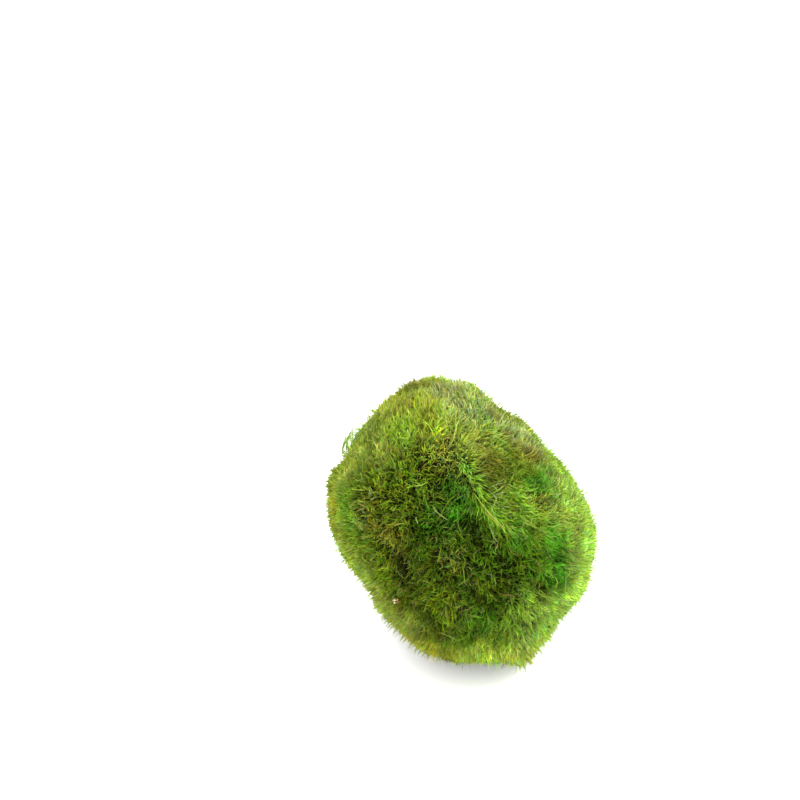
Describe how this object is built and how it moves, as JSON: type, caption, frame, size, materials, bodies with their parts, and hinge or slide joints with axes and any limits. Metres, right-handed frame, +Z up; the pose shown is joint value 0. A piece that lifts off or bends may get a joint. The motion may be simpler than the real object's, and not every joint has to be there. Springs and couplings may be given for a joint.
{
  "type": "marimo moss ball",
  "caption": "Round, soft, slightly lumpy ball of short green water moss that rests on a small flat spot, with a grain of sand caught in its pile.",
  "frame": {"origin": "on the surface that the ball rests on, under the middle of its bounding box", "axes": "+Z up out of the flat spot, -Y towards the side that shows best, +X to the right seen from there"},
  "size_m": [0.0488, 0.0498, 0.0511],
  "materials": {
    "moss": "matte",
    "sand": "satin"
  },
  "bodies": {
    "root": {"moss_ball": "moss", "sand_grain": "sand"}
  },
  "joints": []
}
